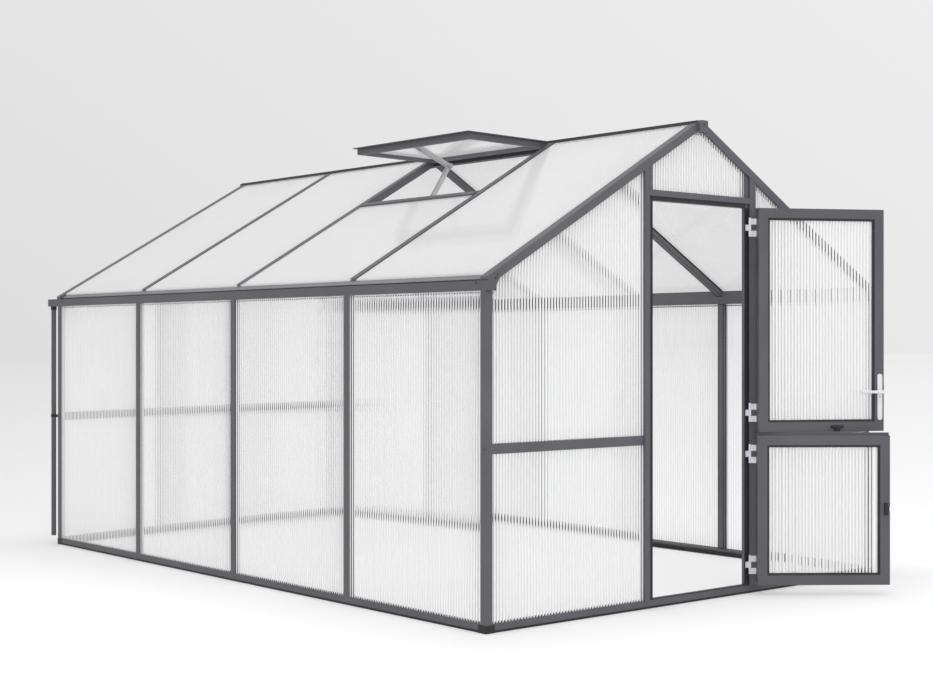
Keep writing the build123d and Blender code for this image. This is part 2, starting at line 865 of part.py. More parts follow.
def vent_head_rail():
    rail = slope_block(left, leaf_head - vent_rail, leaf_head, leaf_top_n, leaf_under_n, leaf_y0, leaf_y1)
    cover = slope_block(left, leaf_head - vent_rail, leaf_head, leaf_top_n, leaf_top_n + vent_flange,
                        leaf_y0 - vent_flange_side, leaf_y1 + vent_flange_side)
    half_web = vent_web / 2
    web = slope_block(left, leaf_head, hinge_s, hinge_n + half_web, hinge_n - half_web, leaf_y0, leaf_y1)
    bead = rod_y(hinge_x, hinge_z, hinge_bead_radius, leaf_y0, leaf_y1)
    return rail + cover + web + bead


def vent_foot_rail():
    rail = slope_block(left, leaf_foot, leaf_foot + vent_rail, leaf_top_n, leaf_under_n, leaf_y0, leaf_y1)
    cover = slope_block(left, leaf_foot - vent_flange_foot, leaf_foot + vent_rail, leaf_top_n,
                        leaf_top_n + vent_flange, leaf_y0 - vent_flange_side, leaf_y1 + vent_flange_side)
    return rail + cover


def vent_frame():
    near = vent_stile(leaf_y0, leaf_y0 + vent_rail, leaf_y0 - vent_flange_side)
    far = vent_stile(leaf_y1 - vent_rail, leaf_y1, leaf_y1 + vent_flange_side)
    core = vent_rail - bar_wall
    low = leaf_under_n + bar_wall
    long_way = (leaf_foot, leaf_head, chamber_top_n, low)
    cross_way = (chamber_top_n, low, leaf_y0 - overrun, leaf_y1 + overrun)
    tools = [
        vent_panel(glazing_gap),
        slope_block(left, *long_way, leaf_y0 + bar_wall, leaf_y0 + core),
        slope_block(left, *long_way, leaf_y1 - core, leaf_y1 - bar_wall),
        slope_block(left, leaf_foot + bar_wall, leaf_foot + core, *cross_way),
        slope_block(left, leaf_head - core, leaf_head - bar_wall, *cross_way),
    ]
    stiles = [less(near, tools[:2]), less(far, tools[:1] + tools[2:3])]
    rails = [less(vent_head_rail(), tools[:1] + tools[4:]), less(vent_foot_rail(), tools[:1] + tools[3:4])]
    return [swing_vent(bar) for bar in stiles + rails]


def vent_sill():
    """Cross bar below the leaf, with a raised rib that the leaf's edge closes behind."""
    seat = -sill_seat_drop
    body = slope_block(left, sill_foot_s, sill_top_s, seat, -sill_depth, vent_y0, vent_y1)
    rib = slope_block(left, sill_foot_s, sill_foot_s + sill_rib, seat, sill_rib_rise, vent_y0, vent_y1)
    chamber_s = sill_foot_s + panel_grip + 2 * bar_wall
    chamber = slope_block(left, chamber_s, sill_top_s - bar_wall, seat - bar_wall, bar_wall - sill_depth,
                          vent_y0 - overrun, vent_y1 + overrun)
    return body + rib - chamber - roof_grooves[left][vent_bay]


add("vent_frame", *vent_frame())
add("vent_panel", swing_vent(vent_panel()))
add("vent_sill", vent_sill())


# Opener: two arms that fold between the sill and the leaf, with a wax cylinder on the lower arm


def shut_to_open(x, z):
    """Where a point of the shut leaf lies when the leaf stands open."""
    turn = math.radians(vent_open_angle)
    dx, dz = x - hinge_x, z - hinge_z
    return (hinge_x + dx * math.cos(turn) + dz * math.sin(turn),
            hinge_z - dx * math.sin(turn) + dz * math.cos(turn))


lower_pivot = slope_point(left, hinge_s - opener_radius, -lower_pivot_drop)
upper_pivot_shut = slope_point(left, hinge_s - opener_radius, -upper_pivot_drop)
upper_pivot = shut_to_open(*upper_pivot_shut)


def elbow_point(low, high):
    """Apex of the two equal arms, on the ridge side of the line between the pivots."""
    dx, dz = high[0] - low[0], high[1] - low[1]
    gap = math.hypot(dx, dz)
    rise = math.sqrt(opener_arm ** 2 - gap ** 2 / 4)
    return ((low[0] + high[0]) / 2 + rise * dz / gap, (low[1] + high[1]) / 2 - rise * dx / gap)


elbow = elbow_point(lower_pivot, upper_pivot)


def arm_place(start, stop):
    """Frame at one pivot with local X along the arm and local Y along the pins."""
    tilt = math.degrees(math.atan2(stop[1] - start[1], stop[0] - start[0]))
    return Pos(start[0], vent_mid, start[1]) * Rot(0, -tilt, 0)


def cross_pin(x, half):
    return Pos(x, 0, 0) * Rot(90, 0, 0) * Cylinder(opener_pin_radius, 2 * half)


def cross_hole(x, radius, half):
    return Pos(x, 0, 0) * Rot(90, 0, 0) * Cylinder(radius, 2 * (half + overrun))


upper_arm_half = lower_arm_half + arm_plate + arm_gap
elbow_pin_half = upper_arm_half + arm_plate + pin_end


def arm_cheeks(half, eye_radius):
    """Two flat cheeks with rounded ends, half to half + plate either side of the middle."""
    cheeks = []
    for sign in (-1, 1):
        y = sign * (half + arm_plate / 2)
        bar = Pos(opener_arm / 2, y, 0) * Box(opener_arm, arm_plate, arm_height)
        foot = Pos(0, y, 0) * Rot(90, 0, 0) * Cylinder(arm_height / 2, arm_plate)
        eye = Pos(opener_arm, y, 0) * Rot(90, 0, 0) * Cylinder(eye_radius, arm_plate)
        cheeks.append(bar + foot + eye)
    return cheeks


def opener_lower_arm():
    near, far = arm_cheeks(lower_arm_half, arm_height / 2)
    pivot_hole = cross_hole(0, opener_pin_radius + running_clearance, elbow_pin_half)
    heads = []
    for sign in (-1, 1):
        place = Pos(opener_arm, sign * (elbow_pin_half + elbow_head / 2), 0) * Rot(90, 0, 0)
        heads.append(place * Cylinder(elbow_head_radius, elbow_head))
    return near + far - pivot_hole + cross_pin(opener_arm, elbow_pin_half) + heads[0] + heads[1]


def opener_upper_arm():
    near, far = arm_cheeks(upper_arm_half, elbow_hole_radius + elbow_eye_wall)
    bridge_from = arm_height
    bridge = Pos(bridge_from + arm_height / 2, 0, arm_height / 2 - arm_plate / 2)
    tie = bridge * Box(arm_height, 2 * upper_arm_half, arm_plate)
    pivot_hole = cross_hole(0, opener_pin_radius + running_clearance, elbow_pin_half)
    return near + far + tie - pivot_hole - cross_hole(opener_arm, elbow_hole_radius, elbow_pin_half)


def opener_cylinder():
    """Wax cylinder held between the cheeks of the lower arm by two trunnions."""
    along = Pos(cylinder_start + cylinder_length / 2, 0, 0) * Rot(0, 90, 0)
    body = along * Cylinder(cylinder_radius, cylinder_length)
    trunnions = Pos(cylinder_start + cylinder_length / 4, 0, 0) * Rot(90, 0, 0)
    ears = trunnions * Cylinder(cylinder_radius / 2, 2 * lower_arm_half)
    bore = Pos(cylinder_start + cylinder_length, 0, 0) * Rot(0, 90, 0)
    return body + ears - bore * Cylinder(cylinder_bore + running_clearance, cylinder_length)


def opener_piston():
    start = cylinder_start + cylinder_length * 3 / 4
    stop = cylinder_start + cylinder_length + piston_reach
    return Pos((start + stop) / 2, 0, 0) * Rot(0, 90, 0) * Cylinder(cylinder_bore, stop - start)


def pivot_lug(pivot, half, plate):
    """Lug round one pivot, from a plate outline in XZ, with its cross pin."""
    lug = along_y(plate, vent_mid - half, vent_mid + half)
    boss = rod_y(pivot[0], pivot[1], arm_height / 2, vent_mid - half, vent_mid + half)
    reach = half + arm_plate + pin_end
    pin = rod_y(pivot[0], pivot[1], opener_pin_radius, vent_mid - reach, vent_mid + reach)
    return lug + boss + pin


def sill_bracket():
    s_pivot = hinge_s - opener_radius
    under = -sill_depth
    high = -lower_pivot_drop + arm_height / 2
    deep = -lower_pivot_drop - arm_height / 2
    foot_s = sill_top_s - sill_width / 2
    plate = [slope_point(left, s, n) for s, n in (
        (foot_s, under), (sill_top_s, under), (s_pivot, high), (s_pivot, deep), (foot_s, under - bracket_plate))]
    return pivot_lug(lower_pivot, lower_arm_half - arm_gap / 4, plate)


def leaf_bracket():
    s_pivot = hinge_s - opener_radius
    rail_s = leaf_foot + vent_rail
    low = -upper_pivot_drop - arm_height / 4
    high = -upper_pivot_drop + arm_height / 4
    half = upper_arm_half - arm_gap / 4
    lug = slope_block(left, rail_s, s_pivot, low, high, vent_mid - half, vent_mid + half)
    boss = rod_y(*upper_pivot_shut, arm_height / 4, vent_mid - half, vent_mid + half)
    pin = rod_y(*upper_pivot_shut, opener_pin_radius, vent_mid - elbow_pin_half, vent_mid + elbow_pin_half)
    return swing_vent(lug + boss + pin)


add("opener_sill_bracket", sill_bracket())
add("opener_leaf_bracket", leaf_bracket())
add("opener_lower_arm", arm_place(lower_pivot, elbow) * opener_lower_arm())
add("opener_cylinder", arm_place(lower_pivot, elbow) * opener_cylinder())
add("opener_piston", arm_place(lower_pivot, elbow) * opener_piston())
add("opener_upper_arm", arm_place(upper_pivot, elbow) * opener_upper_arm())


# Door leaves: made shut in the doorway, then swung open about the hinge axis


def swing_door(piece, angle):
    axis = Pos(hinge_axis_x, hinge_axis_y, 0)
    return axis * Rot(0, 0, angle) * axis.inverse() * piece


def leaf_panel(z0, z1, grow=0.0):
    edge = panel_grip + grow
    y0 = outer_y + door_panel_set_back - grow
    y1 = y0 + panel_thickness + 2 * grow
    half = leaf_edge - leaf_face + edge
    return block(-half, half, y0, y1, z0 + leaf_face - edge, z1 - leaf_face + edge)


def leaf_frame(z0, z1):
    """Stiles at full height with the rails between them."""
    inner = leaf_edge - leaf_face
    spans = ((-leaf_edge, -inner, z0, z1), (inner, leaf_edge, z0, z1),
             (-inner, inner, z0, z0 + leaf_face), (-inner, inner, z1 - leaf_face, z1))
    edge = leaf_edge - bar_wall
    core = inner + panel_grip + glazing_gap + bar_wall
    thin = leaf_face - panel_grip - glazing_gap - bar_wall
    chambers = ((-edge, -core, z0 - overrun, z1 + overrun), (core, edge, z0 - overrun, z1 + overrun),
                (-edge, edge, z0 + bar_wall, z0 + thin), (-edge, edge, z1 - thin, z1 - bar_wall))
    groove = leaf_panel(z0, z1, glazing_gap)
    bars = []
    for (x0, x1, low, high), (c0, c1, c_low, c_high) in zip(spans, chambers):
        bar = block(x0, x1, outer_y, inner_y, low, high)
        bars.append(bar - block(c0, c1, outer_y + bar_wall, inner_y - bar_wall, c_low, c_high) - groove)
    return bars


def leaf_bead(z0, z1):
    """Glazing bead round the inside of the sheet."""
    y0 = outer_y + door_panel_set_back + panel_thickness + glazing_gap
    inner = leaf_edge - leaf_face
    ring = block(-inner, inner, y0, y0 + bead_depth, z0 + leaf_face, z1 - leaf_face)
    clear = inner - bead_width
    hole = block(-clear, clear, y0 - overrun, y0 + bead_depth + overrun, z0 + leaf_face + bead_width,
                 z1 - leaf_face - bead_width)
    return ring - hole


def hinge_centres(z0, z1):
    return (z0 + hinge_inset, z1 - hinge_inset)


knuckle = (hinge_height - 2 * knuckle_gap) / 3
plate_y = outer_y - hinge_plate
hinge_bore = hinge_pin_radius + running_clearance


def leaf_hinge(centre):
    """Leaf side of a hinge: two cranked arms with the top and bottom knuckles."""
    top = centre + hinge_height / 2
    foot = centre - hinge_height / 2
    edge = leaf_edge - knuckle_gap
    near_y = hinge_axis_y - hinge_plate / 2
    hinge = block(leaf_edge - hinge_plate_reach, edge, plate_y, outer_y, foot, top)
    for z0, z1 in ((foot, foot + knuckle), (top - knuckle, top)):
        step = block(edge - hinge_plate, edge, near_y, outer_y, z0, z1)
        arm = block(edge - hinge_plate, hinge_axis_x, near_y, near_y + hinge_plate, z0, z1)
        barrel = rod_z(hinge_axis_x, hinge_axis_y, hinge_barrel_radius, z0, z1)
        hinge = hinge + step + arm + barrel
    return hinge - rod_z(hinge_axis_x, hinge_axis_y, hinge_bore, foot - overrun, top + overrun)


def jamb_hinge(centre):
    """Jamb side of a hinge: a plate on the jamb with the middle knuckle."""
    z0 = centre - knuckle / 2
    z1 = centre + knuckle / 2
    plate = block(hinge_axis_x - hinge_jamb_plate, nose_inner, plate_y, outer_y, z0, z1)
    stem = block(hinge_axis_x - hinge_plate, hinge_axis_x + hinge_plate, hinge_axis_y, outer_y, z0, z1)
    barrel = rod_z(hinge_axis_x, hinge_axis_y, hinge_barrel_radius, z0, z1)
    return plate + stem + barrel - rod_z(hinge_axis_x, hinge_axis_y, hinge_bore, z0 - overrun, z1 + overrun)


def hinge_pin(centre):
    half = hinge_height / 2
    pin = rod_z(hinge_axis_x, hinge_axis_y, hinge_pin_radius, centre - half, centre + half + knuckle_gap)
    head = rod_z(hinge_axis_x, hinge_axis_y, hinge_barrel_radius, centre + half + knuckle_gap,
                 centre + half + knuckle_gap + hinge_plate)
    return pin + head


upper_hinges = hinge_centres(upper_leaf_bottom, upper_leaf_top)
lower_hinges = hinge_centres(lower_leaf_bottom, door_split)
add("hinge_jamb_leaves", *[jamb_hinge(z) for z in upper_hinges + lower_hinges])
add("hinge_pins", *[hinge_pin(z) for z in upper_hinges + lower_hinges])


# Lock, handle and latches


lever_x = -leaf_edge + handle_edge


def lock_box():
    half = lock_thickness / 2
    return block(-leaf_edge, -leaf_edge + lock_width, bolt_y - half, bolt_y + half,
                 lever_z - lock_below, lever_z + lock_above)


def bolt_channel():
    half = bolt_width / 2 + fitting_gap
    tall = bolt_height / 2 + fitting_gap
    return block(-leaf_edge - overrun, -leaf_edge + bolt_length + overrun, bolt_y - half, bolt_y + half,
                 bolt_z - tall, bolt_z + tall)


def lock_case():
    case = lock_box() - bolt_channel()
    hub = rod_y(lever_x, lever_z, spindle_radius + running_clearance, outer_y, inner_y)
    key = rod_y(lever_x, lever_z - keyhole_drop, keyhole_radius, outer_y, inner_y)
    return case - hub - key


def latch_bolt():
    """Spring bolt, standing out of the stile."""
    half = bolt_width / 2
    tall = bolt_height / 2
    start = -leaf_edge - bolt_throw
    return block(start, start + bolt_length, bolt_y - half, bolt_y + half, bolt_z - tall, bolt_z + tall)


def handle_plate(face, outward):
    """Long plate with round ends, a neck hole and a keyhole."""
    far = face + outward * handle_plate_thickness
    round_r = handle_plate_width / 2
    top = lever_z + handle_plate_top - round_r
    foot = lever_z - handle_plate_bottom + round_r
    plate = block(lever_x - round_r, lever_x + round_r, face, far, foot, top)
    plate = plate + rod_y(lever_x, top, round_r, face, far) + rod_y(lever_x, foot, round_r, face, far)
    rim = plate.faces().sort_by(Axis.Y)[0 if outward < 0 else -1]
    plate = fillet(rim.edges(), handle_plate_thickness / 3)
    neck_hole = rod_y(lever_x, lever_z, neck_radius + running_clearance, face - outward, far + outward)
    key = rod_y(lever_x, lever_z - keyhole_drop, keyhole_radius, face - outward, far + outward)
    return plate - neck_hole - key


def lever(face, outward):
    """Neck and lever of one side, pointing towards the hinges."""
    seat = face + outward * fitting_gap
    stop = face + outward * (handle_plate_thickness + neck_length)
    neck = rod_y(lever_x, lever_z, neck_radius, seat, stop)
    grip = block(lever_x, lever_x + lever_length, stop - outward * lever_section, stop,
                 lever_z - lever_section / 2, lever_z + lever_section / 2)
    ends_round = grip.edges().filter_by(Axis.X)
    return neck + fillet(ends_round, lever_section / 3)


def door_handle():
    spindle = rod_y(lever_x, lever_z, spindle_radius, outer_y - overrun, inner_y + overrun)
    return lever(outer_y, -1) + spindle + lever(inner_y, 1)


def leaf_latch():
    """Black sliding latch on the bottom rail of the upper leaf, with its tongue drawn up."""
    x = hinge_axis_x - leaf_latch_offset
    z = upper_leaf_bottom + leaf_latch_above
    body = block(x - leaf_latch_width / 2, x + leaf_latch_width / 2, inner_y, inner_y + leaf_latch_depth,
                 z - leaf_latch_height / 2, z + leaf_latch_height / 2)
    tongue = block(x - tongue_width / 2, x + tongue_width / 2, inner_y + fitting_gap, inner_y + tongue_depth,
                   upper_leaf_bottom, z)
    return body + tongue


def stile_latch():
    """Black sliding latch on the free stile of the lower leaf, with its bolt drawn in."""
    start = -leaf_edge
    z = stile_latch_height
    near = start + bolt_throw + bolt_play
    half = bolt_width / 2
    tall = stile_bolt_height / 2
    knob = block(near, start + stile_latch_width, inner_y, inner_y + stile_latch_depth,
                 z - stile_latch_tall / 2, z + stile_latch_tall / 2)
    stem = block(near, near + bolt_width, bolt_y, inner_y, z - tall, z + tall)
    bolt = block(start - bolt_proud, start + bolt_length, bolt_y - half, bolt_y + half, z - tall, z + tall)
    return knob + stem + bolt


def stile_latch_slot():
    """Mortise and finger slot for the latch in the free stile of the lower leaf."""
    start = -leaf_edge
    z = stile_latch_height
    tall = stile_bolt_height / 2 + fitting_gap
    half = bolt_width / 2 + fitting_gap
    stop = start + bolt_length
    mortise = block(start - overrun, stop + overrun, bolt_y - half, bolt_y + half, z - tall, z + tall)
    slot_end = start + bolt_throw + bolt_width + 2 * bolt_play
    slot = block(start, slot_end, bolt_y, inner_y + overrun, z - tall, z + tall)
    return [mortise, slot]


def upper_leaf():
    free_stile, hinge_stile, foot_rail, head_rail = leaf_frame(upper_leaf_bottom, upper_leaf_top)
    neck_path = rod_y(lever_x, lever_z, neck_radius + running_clearance, outer_y - overrun, inner_y + overrun)
    key_path = rod_y(lever_x, lever_z - keyhole_drop, keyhole_radius, outer_y - overrun, inner_y + overrun)
    free_stile = less(free_stile, [lock_box(), neck_path, key_path])
    return [free_stile, hinge_stile, foot_rail, head_rail]


def lower_leaf():
    free_stile, hinge_stile, foot_rail, head_rail = leaf_frame(lower_leaf_bottom, door_split)
    return [less(free_stile, stile_latch_slot()), hinge_stile, foot_rail, head_rail]


def top_lip():
    """Upstand on the lower leaf that closes the joint below the upper leaf."""
    lip_top = door_split + door_lip_height
    return block(-leaf_edge, leaf_edge, outer_y, outer_y + door_lip_depth, door_split, lip_top)


def hang(angle, name, *pieces):
    add(name, *[swing_door(piece, angle) for piece in pieces])


hang(upper_open_angle, "upper_door_frame", *upper_leaf())
hang(upper_open_angle, "upper_door_panel", leaf_panel(upper_leaf_bottom, upper_leaf_top))
hang(upper_open_angle, "upper_door_bead", leaf_bead(upper_leaf_bottom, upper_leaf_top))
hang(upper_open_angle, "upper_hinge_leaves", *[leaf_hinge(z) for z in upper_hinges])
hang(upper_open_angle, "handle_plates", handle_plate(outer_y, -1), handle_plate(inner_y, 1))
hang(upper_open_angle, "lock_case", lock_case())
hang(upper_open_angle, "door_handle", door_handle())
hang(upper_open_angle, "latch_bolt", latch_bolt())
hang(upper_open_angle, "upper_door_latch", leaf_latch())
hang(lower_open_angle, "lower_door_frame", *lower_leaf())
hang(lower_open_angle, "lower_door_panel", leaf_panel(lower_leaf_bottom, door_split))
hang(lower_open_angle, "lower_door_bead", leaf_bead(lower_leaf_bottom, door_split))
hang(lower_open_angle, "lower_hinge_leaves", *[leaf_hinge(z) for z in lower_hinges])
hang(lower_open_angle, "lower_door_top_lip", top_lip())
hang(lower_open_angle, "lower_door_latch", stile_latch())


os.makedirs("parts", exist_ok=True)
for name, solids in nodes.items():
    export_step(Compound(solids), f"parts/{name}.step")
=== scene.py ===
import json
import math

import bmesh
import bpy
from mathutils import Matrix, Vector


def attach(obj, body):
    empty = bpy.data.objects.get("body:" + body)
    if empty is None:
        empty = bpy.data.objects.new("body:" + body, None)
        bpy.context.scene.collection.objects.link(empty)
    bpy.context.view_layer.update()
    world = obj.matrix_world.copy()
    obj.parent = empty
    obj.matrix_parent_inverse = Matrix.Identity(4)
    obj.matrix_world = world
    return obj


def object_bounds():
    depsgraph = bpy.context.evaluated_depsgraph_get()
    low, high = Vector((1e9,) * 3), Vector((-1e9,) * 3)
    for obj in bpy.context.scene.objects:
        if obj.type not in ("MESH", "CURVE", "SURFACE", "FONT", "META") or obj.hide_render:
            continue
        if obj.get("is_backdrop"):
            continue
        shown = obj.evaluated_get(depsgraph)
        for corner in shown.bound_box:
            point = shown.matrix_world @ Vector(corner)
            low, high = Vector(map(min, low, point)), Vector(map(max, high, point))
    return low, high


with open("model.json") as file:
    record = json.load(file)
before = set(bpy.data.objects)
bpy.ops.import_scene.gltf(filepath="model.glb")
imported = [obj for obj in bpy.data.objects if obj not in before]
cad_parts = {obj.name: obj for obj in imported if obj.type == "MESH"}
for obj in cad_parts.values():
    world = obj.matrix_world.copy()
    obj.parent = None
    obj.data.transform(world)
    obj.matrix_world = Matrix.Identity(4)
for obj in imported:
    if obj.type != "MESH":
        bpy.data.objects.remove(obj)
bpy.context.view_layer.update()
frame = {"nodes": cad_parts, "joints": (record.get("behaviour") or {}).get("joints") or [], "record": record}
nodes = frame["nodes"]
bodies = frame["record"]["behaviour"]["bodies"]
bodyOf = {node: body for body, members in bodies.items() for node in members}
slotOf = {part["node"]: part["material_slot"] for part in frame["record"]["subparts"]}
joints = {joint["name"]: joint for joint in frame["joints"]}
glazed = [name for name in nodes if slotOf[name] == "glazing"]
scene = bpy.context.scene
scene.view_settings.view_transform = "Standard"


def startMaterial(name):
    mat = bpy.data.materials.new(name)
    mat.use_nodes = True
    return mat, mat.node_tree, mat.node_tree.nodes["Principled BSDF"]


def objectCoords(tree, stretch=(1, 1, 1)):
    coords = tree.nodes.new("ShaderNodeTexCoord")
    mapping = tree.nodes.new("ShaderNodeMapping")
    mapping.inputs["Scale"].default_value = stretch
    tree.links.new(coords.outputs["Object"], mapping.inputs["Vector"])
    return mapping.outputs["Vector"]


def grain(tree, coords, scale, detail=3.0, rough=0.55):
    noise = tree.nodes.new("ShaderNodeTexNoise")
    noise.inputs["Scale"].default_value = scale
    noise.inputs["Detail"].default_value = detail
    noise.inputs["Roughness"].default_value = rough
    tree.links.new(coords, noise.inputs["Vector"])
    return noise.outputs["Fac"]


def blendColour(tree, factor, low, high, start=0.3, stop=0.7):
    ramp = tree.nodes.new("ShaderNodeValToRGB")
    ramp.color_ramp.elements[0].position = start
    ramp.color_ramp.elements[0].color = (*low, 1)
    ramp.color_ramp.elements[1].position = stop
    ramp.color_ramp.elements[1].color = (*high, 1)
    tree.links.new(factor, ramp.inputs["Fac"])
    return ramp.outputs["Color"]


def blendValue(tree, factor, low, high, start=0.3, stop=0.7):
    span = tree.nodes.new("ShaderNodeMapRange")
    span.inputs["From Min"].default_value = start
    span.inputs["From Max"].default_value = stop
    span.inputs["To Min"].default_value = low
    span.inputs["To Max"].default_value = high
    tree.links.new(factor, span.inputs["Value"])
    return span.outputs["Result"]


def vectorStep(tree, operation, source, other=(0, 0, 0)):
    step = tree.nodes.new("ShaderNodeVectorMath")
    step.operation = operation
    tree.links.new(source, step.inputs[0])
    step.inputs[1].default_value = other
    return step.outputs["Value" if operation in ("LENGTH", "DOT_PRODUCT") else "Vector"]


def mathStep(tree, operation, first, second):
    step = tree.nodes.new("ShaderNodeMath")
    step.operation = operation
    tree.links.new(first, step.inputs[0])
    tree.links.new(second, step.inputs[1])
    return step.outputs["Value"]


def mixInto(tree, first, second, output):
    # two shaders on one surface, the factor between them is returned
    mix = tree.nodes.new("ShaderNodeMixShader")
    tree.links.new(first, mix.inputs[1])
    tree.links.new(second, mix.inputs[2])
    tree.links.new(mix.outputs["Shader"], output.inputs["Surface"])
    return mix.inputs["Fac"]


def shaded(colour, shade):
    return [c * shade for c in colour]


def setTone(tree, shader, look, factor, shade=1.0):
    tint = blendColour(tree, factor, shaded(look["low"], shade), shaded(look["high"], shade))
    tree.links.new(tint, shader.inputs["Base Color"])


def setRough(tree, shader, look, factor):
    rough = blendValue(tree, factor, look["roughLow"], look["roughHigh"])
    tree.links.new(rough, shader.inputs["Roughness"])


def setBump(tree, shader, height, depth, strength=1.0):
    bump = tree.nodes.new("ShaderNodeBump")
    bump.inputs["Strength"].default_value = strength
    bump.inputs["Distance"].default_value = depth
    tree.links.new(height, bump.inputs["Height"])
    tree.links.new(bump.outputs["Normal"], shader.inputs["Normal"])


coatLook = {
    "low": (0.102, 0.101, 0.113), "high": (0.125, 0.124, 0.137), "roughLow": 0.42, "roughHigh": 0.56,
    "specular": 0.35, "patchScale": 2.6, "grainScale": 700.0, "grainDepth": 0.0002, "grainStrength": 0.25,
}


def coatedAluminium(name, shade=1.0):
    mat, tree, shader = startMaterial(name)
    coords = objectCoords(tree)
    patches = grain(tree, coords, coatLook["patchScale"])
    speckle = grain(tree, coords, coatLook["grainScale"], detail=1.0)
    setTone(tree, shader, coatLook, patches, shade)
    setRough(tree, shader, coatLook, speckle)
    setBump(tree, shader, speckle, coatLook["grainDepth"], coatLook["grainStrength"])
    shader.inputs["Specular IOR Level"].default_value = coatLook["specular"]
    return mat


sheetLook = {
    "low": (0.985, 0.987, 0.99), "high": (1.0, 1.0, 1.0), "roughLow": 0.021, "roughHigh": 0.039,
    "ior": 1.15, "cloudScale": 1.7, "flute": 0.017, "fluteDepth": 0.0011,
}


def clearSheet(name, turn, pitch=sheetLook["flute"], depth=sheetLook["fluteDepth"]):
    # fluted clear plastic, turn is the heading of the line across the flutes
    mat, tree, shader = startMaterial(name)
    cloud = grain(tree, objectCoords(tree), sheetLook["cloudScale"])
    setTone(tree, shader, sheetLook, cloud)
    setRough(tree, shader, sheetLook, cloud)
    turned = objectCoords(tree)
    turned.node.inputs["Rotation"].default_value = (0, 0, -turn)
    flutes = tree.nodes.new("ShaderNodeTexWave")
    flutes.bands_direction = "X"
    radiansPerUnit = 20  # the wave node's own factor
    flutes.inputs["Scale"].default_value = math.tau / (radiansPerUnit * pitch)
    tree.links.new(turned, flutes.inputs["Vector"])
    setBump(tree, shader, flutes.outputs["Fac"], depth)
    shader.inputs["Transmission Weight"].default_value = 1.0
    shader.inputs["IOR"].default_value = sheetLook["ior"]
    return mat


ribLook = {
    "low": (0.96, 0.96, 0.965), "high": (0.98, 0.98, 0.98), "roughLow": 0.4, "roughHigh": 0.6,
    "specular": 0.2, "cloudScale": 6.0,
}


def sheetRib(name, shade=1.0, through=0.0):
    # pale plastic, through is the share of light that it lets pass
    mat, tree, shader = startMaterial(name)
    cloud = grain(tree, objectCoords(tree), ribLook["cloudScale"])
    setTone(tree, shader, ribLook, cloud, shade)
    setRough(tree, shader, ribLook, cloud)
    shader.inputs["Specular IOR Level"].default_value = ribLook["specular"]
    milky = tree.nodes.new("ShaderNodeBsdfTranslucent")
    milky.inputs["Color"].default_value = (*shaded(ribLook["high"], shade), 1)
    share = mixInto(tree, shader.outputs["BSDF"], milky.outputs["BSDF"], tree.nodes["Material Output"])
    share.default_value = through
    return mat


mouldLook = {
    "low": (0.010, 0.010, 0.011), "high": (0.020, 0.020, 0.022), "roughLow": 0.38, "roughHigh": 0.55,
    "cloudScale": 14.0, "grainScale": 900.0, "grainDepth": 0.0002, "grainStrength": 0.3,
}


def mouldedPlastic(name, shade=1.0):
    mat, tree, shader = startMaterial(name)
    coords = objectCoords(tree)
    speckle = grain(tree, coords, mouldLook["grainScale"], detail=2.0)
    cloud = grain(tree, coords, mouldLook["cloudScale"])
    setTone(tree, shader, mouldLook, cloud, shade)
    setRough(tree, shader, mouldLook, speckle)
    setBump(tree, shader, speckle, mouldLook["grainDepth"], mouldLook["grainStrength"])
    return mat


silverLook = {
    "low": (0.80, 0.81, 0.83), "high": (0.90, 0.905, 0.92), "roughLow": 0.26, "roughHigh": 0.42,
    "metal": 0.35, "cloudScale": 18.0, "brushScale": 420.0, "brushStretch": (1.0, 1.0, 0.06),
    "brushDepth": 0.0002, "brushStrength": 0.12,
}


def plainSilver(name, shade=1.0):
    mat, tree, shader = startMaterial(name)
    brush = grain(tree, objectCoords(tree, silverLook["brushStretch"]), silverLook["brushScale"], detail=2.0)
    cloud = grain(tree, objectCoords(tree), silverLook["cloudScale"])
    setTone(tree, shader, silverLook, cloud, shade)
    setRough(tree, shader, silverLook, brush)
    setBump(tree, shader, brush, silverLook["brushDepth"], silverLook["brushStrength"])
    shader.inputs["Metallic"].default_value = silverLook["metal"]
    return mat


finishes = {
    "grey": coatedAluminium("greyCoatedAluminium"),
    # eave strips: the grey coat painted lighter, a painted highlight for their lit tops
    "edge": coatedAluminium("greyCoatedFlange", shade=1.7),
    # ridge beam: the grey coat painted darker, painted shade for its flank
    "ridge": coatedAluminium("greyCoatedRidge", shade=0.4),
    "skin": clearSheet("twinWallSheetAcross", 0.0),
    "sideSkin": clearSheet("twinWallSheetAlong", math.pi / 2),
    "roofSkin": clearSheet("twinWallSheetRoof", math.pi / 2, depth=0.0001),
    "rib": sheetRib("twinWallRib"),
    "roofRib": sheetRib("twinWallRoofRib", shade=0.93, through=0.65),
    "black": mouldedPlastic("blackMouldedPlastic"),
    "bead": mouldedPlastic("darkGlazingBead", shade=1.6),
    # black rubber for the gaskets and seals, also the colour of the strips of painted shade
    "rubber": mouldedPlastic("blackSealRubber", shade=0.8),
    "silver": plainSilver("plainSilverFittings"),
    "opener": plainSilver("dullOpenerMetal", shade=0.62),
    "screw": plainSilver("darkScrewHeads", shade=0.06),
}
slotFinish = {
    "grey_aluminium": "grey", "glazing": "skin", "silver_metal": "silver",
    "black_plastic": "black", "dark_bead": "bead",
}
ownFinish = {
    "left_wall_panels": "sideSkin", "right_wall_panels": "sideSkin", "left_roof_panels": "roofSkin",
    "right_roof_panels": "roofSkin", "vent_panel": "roofSkin", "eave_strips": "edge", "ridge_beam": "ridge",
    "frame_screws": "screw",
}
for name in nodes:
    if name.startswith("opener_") and slotOf[name] == "silver_metal":
        ownFinish[name] = "opener"


def paint(obj, finish):
    obj.data.materials.clear()
    obj.data.materials.append(finishes[finish])


def passLight(obj):
    # daylight goes through the sheets
    obj.visible_shadow = False
    obj.visible_diffuse = False


